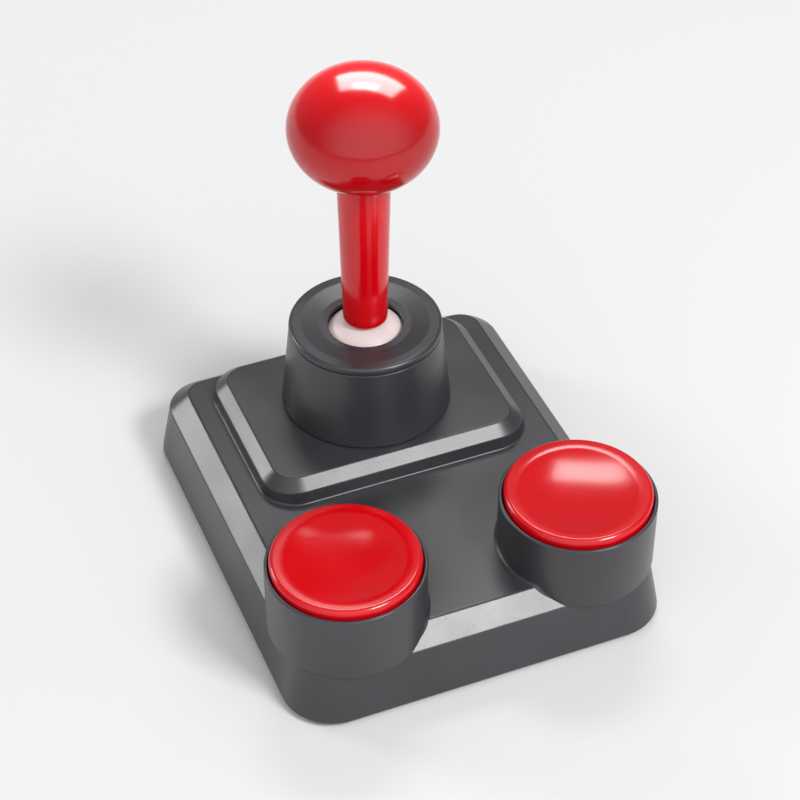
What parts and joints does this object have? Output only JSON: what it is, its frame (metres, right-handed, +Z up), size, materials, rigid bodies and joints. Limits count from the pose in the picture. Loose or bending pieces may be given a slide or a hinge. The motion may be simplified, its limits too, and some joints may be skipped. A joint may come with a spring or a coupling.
{
  "type": "arcade joystick panel",
  "caption": "Drafted grey case with a raised pad, a ball-top stick tilting both ways in a round turret and large dished red fire buttons in round wells at its front corners.",
  "frame": {"origin": "on the floor plane under the feet, below the middle of the case", "axes": "+Z up along the stick, -Y towards the player and the buttons, +X to the player's right"},
  "size_m": [0.114, 0.1363, 0.1425],
  "materials": {
    "case_plastic": "semi-gloss moulded ABS, dark grey",
    "red_plastic": "glossy moulded, warm red",
    "pale_nylon": "natural nylon, satin",
    "black_nylon": "moulded, fine texture",
    "rubber": "matt",
    "steel": "drawn and ground",
    "zinc_screw": "bright zinc plate",
    "circuit_board": "green solder mask",
    "insulator": "phenolic laminate",
    "contact_metal": "spring bronze strip"
  },
  "bodies": {
    "case": {"top_case": "case_plastic", "base_plate": "black_nylon", "foot_front_left": "rubber", "foot_front_right": "rubber", "foot_back_left": "rubber", "foot_back_right": "rubber", "case_screw_front_left": "zinc_screw", "case_screw_front_right": "zinc_screw", "case_screw_back_left": "zinc_screw", "case_screw_back_right": "zinc_screw", "stick_turret": "case_plastic", "turret_cap": "case_plastic", "turret_screw_back_right": "zinc_screw", "turret_screw_back_left": "zinc_screw", "turret_screw_front_left": "zinc_screw", "turret_screw_front_right": "zinc_screw", "pivot_carrier": "black_nylon", "restrictor_gate": "pale_nylon", "contact_stack_right": "insulator", "contact_stack_back": "insulator", "contact_stack_left": "insulator", "contact_stack_front": "insulator", "fire_stack_left": "insulator", "fire_stack_right": "insulator", "circuit_board": "circuit_board", "board_screw_front_left": "zinc_screw", "board_screw_front_right": "zinc_screw", "board_screw_back_left": "zinc_screw", "board_screw_back_right": "zinc_screw", "cable_header": "insulator", "cable_grommet": "rubber"},
    "gimbal": {"gimbal_ring": "black_nylon", "gimbal_pin_left": "steel", "gimbal_pin_right": "steel"},
    "stick": {"steel_shaft": "steel", "shaft_sleeve": "red_plastic", "ball_knob": "red_plastic", "dust_dome": "pale_nylon", "pivot_pin": "steel", "actuator": "black_nylon", "centring_spring": "steel"},
    "button_left": {"button_cap_left": "red_plastic", "button_clip_left": "steel", "button_spring_left": "steel"},
    "button_right": {"button_cap_right": "red_plastic", "button_clip_right": "steel", "button_spring_right": "steel"},
    "leaf_right": {"leaf_blade_right": "contact_metal"},
    "leaf_back": {"leaf_blade_back": "contact_metal"},
    "leaf_left": {"leaf_blade_left": "contact_metal"},
    "leaf_front": {"leaf_blade_front": "contact_metal"},
    "fire_contact_left": {"fire_blade_left": "contact_metal"},
    "fire_contact_right": {"fire_blade_right": "contact_metal"}
  },
  "joints": [
    {"name": "stick_fore_aft", "type": "hinge", "parent": "case", "child": "gimbal", "pos_m": [0, 0.0275, 0.044], "axis": [1, 0, 0], "range_deg": [-8, 8], "stiffness_Nm_per_rad": 2.5, "deforming": ["centring_spring"]},
    {"name": "stick_left_right", "type": "hinge", "parent": "gimbal", "child": "stick", "pos_m": [0, 0.0275, 0.044], "axis": [0, 1, 0], "range_deg": [-8, 8], "stiffness_Nm_per_rad": 2.5, "deforming": ["centring_spring"]},
    {"name": "button_left_press", "type": "slide", "parent": "case", "child": "button_left", "axis": [0, 0, -1], "range_m": [0, 0.0025], "stiffness_N_per_m": 400, "springref_m": -0.003, "deforming": ["button_spring_left"]},
    {"name": "button_right_press", "type": "slide", "parent": "case", "child": "button_right", "axis": [0, 0, -1], "range_m": [0, 0.0025], "stiffness_N_per_m": 400, "springref_m": -0.003, "deforming": ["button_spring_right"]},
    {"name": "leaf_right_flex", "type": "hinge", "parent": "case", "child": "leaf_right", "pos_m": [0.0129, 0.0275, 0.0113], "axis": [0, 1, 0], "range_deg": [-14, 14]},
    {"name": "leaf_left_flex", "type": "hinge", "parent": "case", "child": "leaf_left", "pos_m": [-0.0129, 0.0275, 0.0113], "axis": [0, 1, 0], "range_deg": [-14, 14]},
    {"name": "leaf_back_flex", "type": "hinge", "parent": "case", "child": "leaf_back", "pos_m": [0, 0.0404, 0.0113], "axis": [1, 0, 0], "range_deg": [-14, 14]},
    {"name": "leaf_front_flex", "type": "hinge", "parent": "case", "child": "leaf_front", "pos_m": [0, 0.0146, 0.0113], "axis": [1, 0, 0], "range_deg": [-14, 14]},
    {"name": "fire_left_flex", "type": "hinge", "parent": "case", "child": "fire_contact_left", "pos_m": [-0.0185, -0.0457, 0.01515], "axis": [0, 1, 0], "range_deg": [-9.5, 0]},
    {"name": "fire_right_flex", "type": "hinge", "parent": "case", "child": "fire_contact_right", "pos_m": [0.0185, -0.0457, 0.01515], "axis": [0, 1, 0], "range_deg": [0, 9.5]}
  ],
  "couplings": [
    {"joint": "leaf_left_flex", "follows": "stick_left_right", "ratio": -1.7},
    {"joint": "leaf_right_flex", "follows": "stick_left_right", "ratio": -1.7},
    {"joint": "leaf_back_flex", "follows": "stick_fore_aft", "ratio": -1.7},
    {"joint": "leaf_front_flex", "follows": "stick_fore_aft", "ratio": -1.7},
    {"joint": "fire_left_flex", "follows": "button_left_press", "rad_per_m": -62},
    {"joint": "fire_right_flex", "follows": "button_right_press", "rad_per_m": 62}
  ]
}
